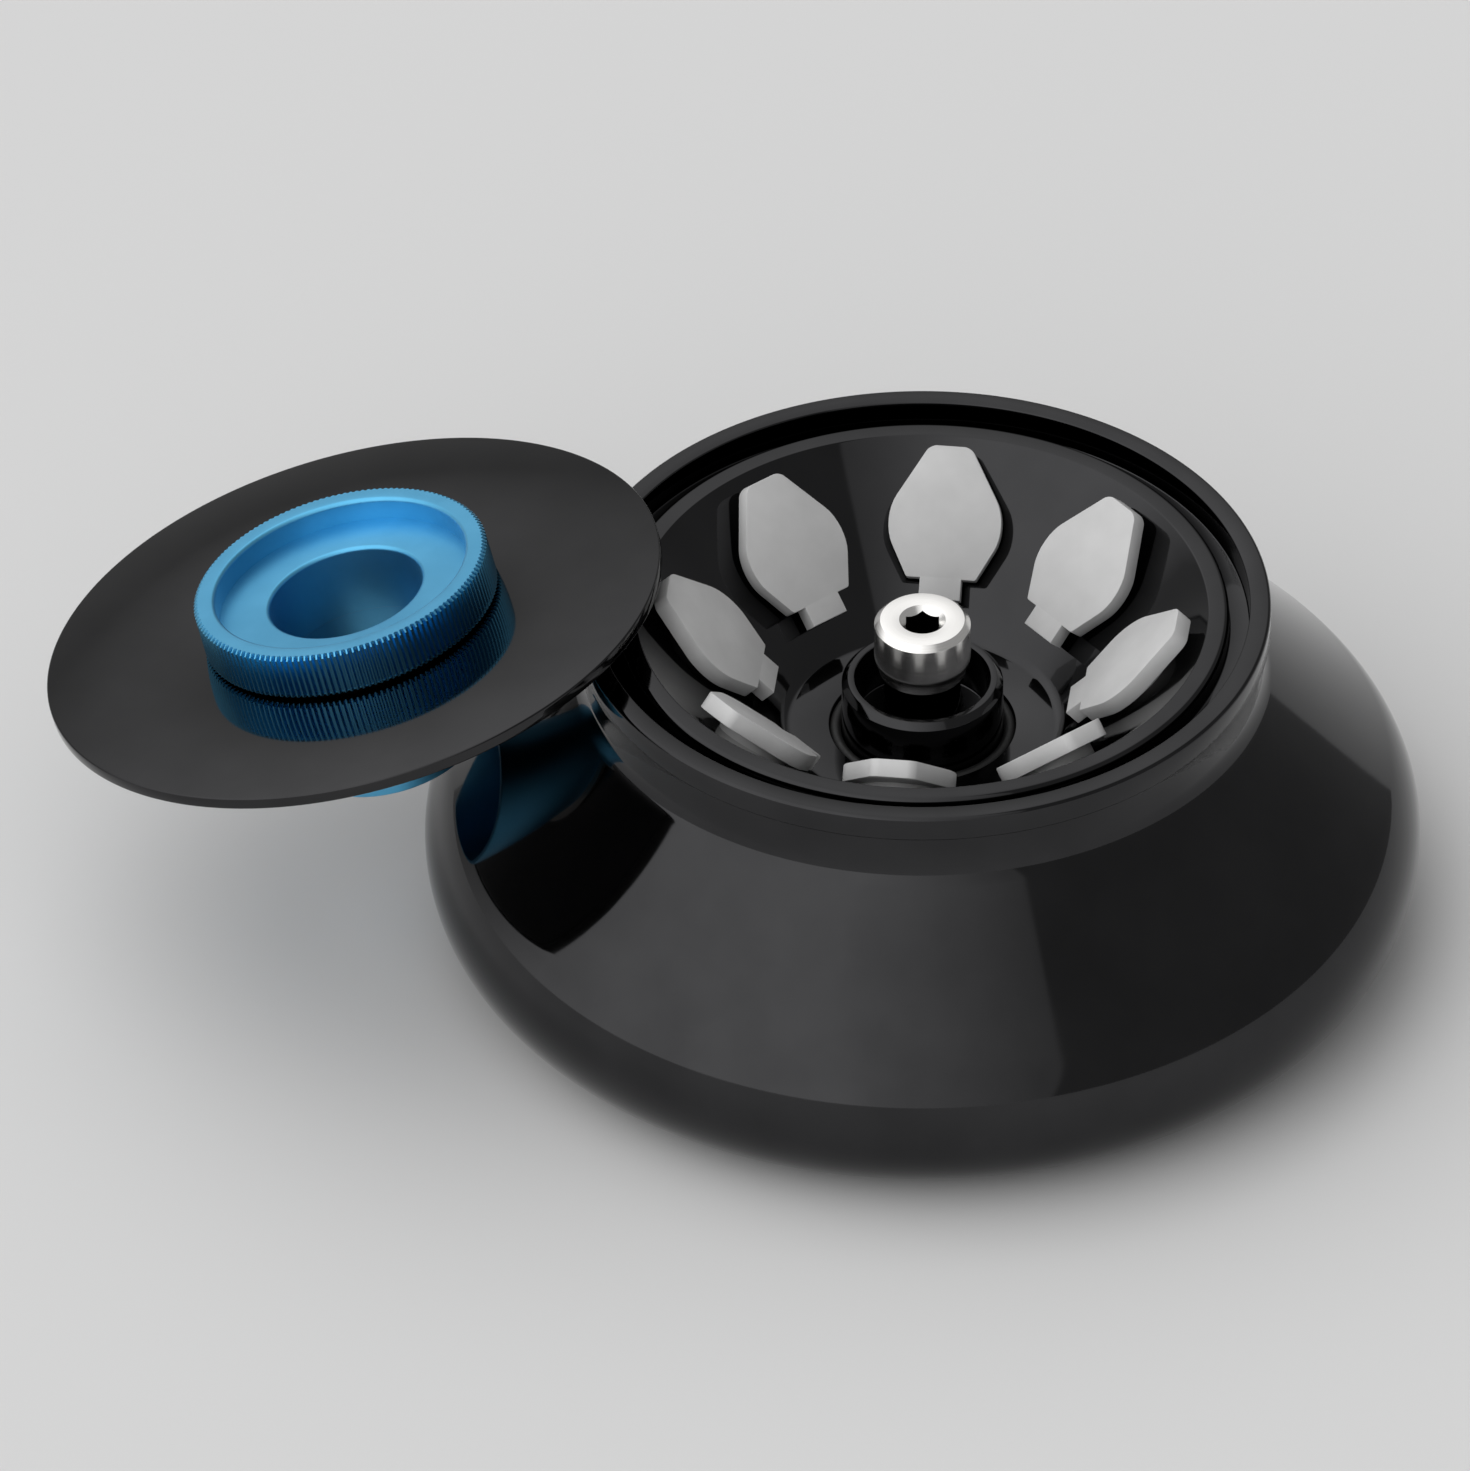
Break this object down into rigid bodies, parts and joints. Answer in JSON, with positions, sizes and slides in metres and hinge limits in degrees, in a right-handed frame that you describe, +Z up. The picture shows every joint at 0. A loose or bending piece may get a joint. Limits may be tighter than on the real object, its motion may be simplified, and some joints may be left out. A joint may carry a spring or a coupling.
{
  "type": "fixed angle rotor",
  "caption": "Black fixed angle centrifuge rotor with a conical bowl, grey inserts in angled pockets, a tie-down screw and a flat lid with a blue knurled knob.",
  "frame": {"origin": "on the rotor's axis, at the mouth of the drive bore, in the plane of the base", "axes": "+Z up along the rotor's axis, -X towards the lid that leans on the rim, +Y away from the viewer"},
  "size_m": [0.3311, 0.24, 0.1081],
  "materials": {
    "body_black": "gloss black hard anodised",
    "hub_black": "gloss black hard anodised",
    "lid_black": "gloss black anodised",
    "knob_blue": "satin blue anodised",
    "insert_grey": "satin light grey",
    "screw_steel": "turned and polished stainless steel",
    "fastener_steel": "plain steel",
    "seal_rubber": "matt black rubber",
    "washer_black": "matt black plastic"
  },
  "bodies": {
    "rotor": {"rotor_body": "body_black", "drive_hub": "hub_black", "hub_seal": "seal_rubber", "hub_screws": "fastener_steel", "drive_pins": "fastener_steel", "pocket_insert_1": "insert_grey", "pocket_insert_2": "insert_grey", "pocket_insert_3": "insert_grey", "pocket_insert_4": "insert_grey", "pocket_insert_5": "insert_grey", "pocket_insert_6": "insert_grey", "pocket_insert_7": "insert_grey", "pocket_insert_8": "insert_grey", "lid_disc": "lid_black", "lid_seal": "seal_rubber", "knob_washer": "washer_black"},
    "screw": {"tie_down_screw": "screw_steel", "screw_clip": "fastener_steel"},
    "knob": {"lid_knob": "knob_blue", "lid_clip": "fastener_steel"}
  },
  "joints": [
    {"name": "screw_turn", "type": "hinge", "parent": "rotor", "child": "screw", "pos_m": [0, 0, 0.0905], "axis": [0, 0, 1], "continuous": true},
    {"name": "knob_turn", "type": "hinge", "parent": "rotor", "child": "knob", "pos_m": [-0.13723, 0.0068, 0.08553], "axis": [-0.2512, 0.1019, 0.9625], "continuous": true}
  ]
}
